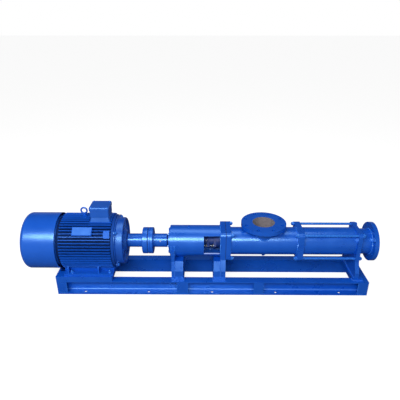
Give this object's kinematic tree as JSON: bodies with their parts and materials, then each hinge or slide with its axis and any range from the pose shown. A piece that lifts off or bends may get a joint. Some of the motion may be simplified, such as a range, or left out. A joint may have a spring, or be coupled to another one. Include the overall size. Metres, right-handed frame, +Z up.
{
  "type": "progressive cavity pump",
  "caption": "Motor-driven progressive cavity pump on a channel base, with a vertical suction flange, a helical rotor in a rubber stator and an end discharge flange.",
  "frame": {"origin": "centre of the outer anchor bolt rectangle in the underside of the base frame", "axes": "+X along the pump axis towards the discharge flange, +Y to the far side, +Z up towards the suction flange"},
  "size_m": [2.218, 0.3599, 0.5776],
  "materials": {
    "blue_paint": "gloss",
    "blue_cast": "satin",
    "steel": "satin",
    "chrome_steel": "polished",
    "electrical_steel": "satin",
    "copper_winding": "satin",
    "aluminium": "satin",
    "rubber": "matte",
    "plastic": "matte",
    "packing": "matte",
    "bearing_steel": "satin"
  },
  "bodies": {
    "frame": {"base_cross_members": "blue_paint", "base_end_left": "blue_paint", "base_end_right": "blue_paint", "base_rail_front": "blue_paint", "base_rail_rear": "blue_paint", "bearing_cover": "blue_paint", "bearing_housing": "blue_paint", "cable_gland": "plastic", "cover_bolts": "blue_paint", "cowl_screws": "blue_paint", "discharge_end_plate": "blue_paint", "discharge_neck": "blue_paint", "drain_plug": "blue_paint", "drive_end_shield": "blue_cast", "fan_cowl": "blue_paint", "fan_end_shield": "blue_cast", "flange_bolts": "blue_paint", "gland_follower": "steel", "gland_studs": "steel", "grease_cup": "blue_paint", "lid_screws": "blue_paint", "lifting_eyebolt": "blue_paint", "motor_bearings": "bearing_steel", "motor_foot_bolts": "blue_paint", "motor_frame": "blue_cast", "motor_seat": "blue_paint", "motor_stator_core": "electrical_steel", "motor_windings": "copper_winding", "nameplate": "aluminium", "oil_seal": "rubber", "packing_rings": "packing", "pedestal_left": "blue_paint", "pedestal_right": "blue_paint", "pump_bearings": "bearing_steel", "rail_stiffener_plates": "blue_paint", "shield_bolts": "blue_paint", "stator_lining": "rubber", "stator_tube": "blue_paint", "stuffing_box": "blue_cast", "suction_casing": "blue_paint", "terminal_board": "plastic", "terminal_box": "blue_cast", "terminal_box_lid": "blue_paint", "tie_rod_nuts": "blue_paint", "tie_rods": "blue_paint"},
    "driveline": {"motor_shaft": "steel", "motor_key": "steel", "motor_rotor_core": "electrical_steel", "cooling_fan": "plastic", "coupling_hub_motor": "blue_paint", "coupling_buffer": "rubber", "coupling_hub_pump": "blue_paint", "hub_set_screw": "blue_paint", "drive_shaft": "steel", "bearing_spacer": "steel"},
    "orbit": {"joint_boot": "rubber"},
    "rod": {"coupling_rod": "steel", "joint_pins": "steel"},
    "rotor_body": {"rotor": "chrome_steel"}
  },
  "joints": [
    {"name": "shaft_spin", "type": "hinge", "parent": "frame", "child": "driveline", "pos_m": [0, 0, 0.315], "axis": [1, 0, 0], "continuous": true},
    {"name": "rotor_orbit", "type": "hinge", "parent": "frame", "child": "orbit", "pos_m": [0, 0, 0.315], "axis": [1, 0, 0], "continuous": true},
    {"name": "rod_spin", "type": "hinge", "parent": "orbit", "child": "rod", "pos_m": [0.212, 0, 0.315], "axis": [0.9991, 0.0416, 0], "continuous": true},
    {"name": "rotor_spin", "type": "hinge", "parent": "orbit", "child": "rotor_body", "pos_m": [0.7, 0.012, 0.315], "axis": [1, 0, 0], "continuous": true}
  ],
  "couplings": [
    {"joint": "rotor_orbit", "follows": "shaft_spin", "ratio": -1},
    {"joint": "rod_spin", "follows": "shaft_spin", "ratio": 2},
    {"joint": "rotor_spin", "follows": "shaft_spin", "ratio": 2}
  ]
}
